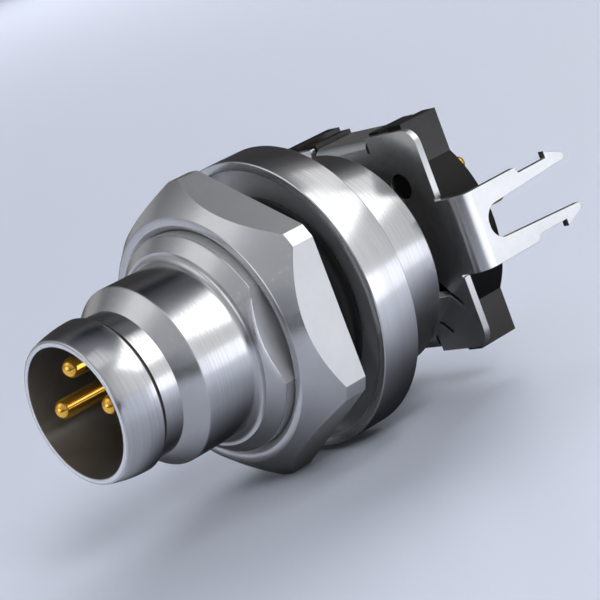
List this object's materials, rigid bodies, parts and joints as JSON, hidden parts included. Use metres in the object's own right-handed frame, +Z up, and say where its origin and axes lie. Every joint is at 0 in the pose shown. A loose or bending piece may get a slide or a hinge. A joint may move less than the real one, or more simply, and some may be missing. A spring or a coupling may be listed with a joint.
{
  "type": "circular sensor connector",
  "caption": "Panel-mount circular sensor connector with a snap lip, lock nut, rubber panel seal, gold-plated contacts and a stamped shield plate with solder forks.",
  "frame": {"origin": "on the connector's axis, in the plane of the flange lip that meets the panel", "axes": "+Y along the axis from the plug side to the solder side, +X to the right seen from the plug side, towards the thread's flat, +Z up"},
  "size_m": [0.0154, 0.0283, 0.0158],
  "materials": {
    "nickel": "satin nickel plating over turned brass, with fine turning marks",
    "seal_rubber": "smooth black rubber with a soft gloss",
    "carrier_plastic": "black moulded plastic",
    "contact_gold": "bright gold plating",
    "tinned_sheet": "smooth tinned sheet with bright cut edges",
    "insulator_plastic": "black moulded plastic with a faint texture"
  },
  "bodies": {
    "connector": {"housing": "nickel", "panel_seal": "seal_rubber", "contact_carrier": "carrier_plastic", "carrier_seal": "seal_rubber", "contact_right": "contact_gold", "contact_top": "contact_gold", "contact_left": "contact_gold", "shield_plate": "tinned_sheet", "rear_insulator": "insulator_plastic"},
    "nut": {"hex_nut": "nickel"}
  },
  "joints": [
    {"name": "nut_travel", "type": "slide", "parent": "connector", "child": "nut", "axis": [0, -1, 0], "range_m": [-0.0008, 0.0125]}
  ]
}
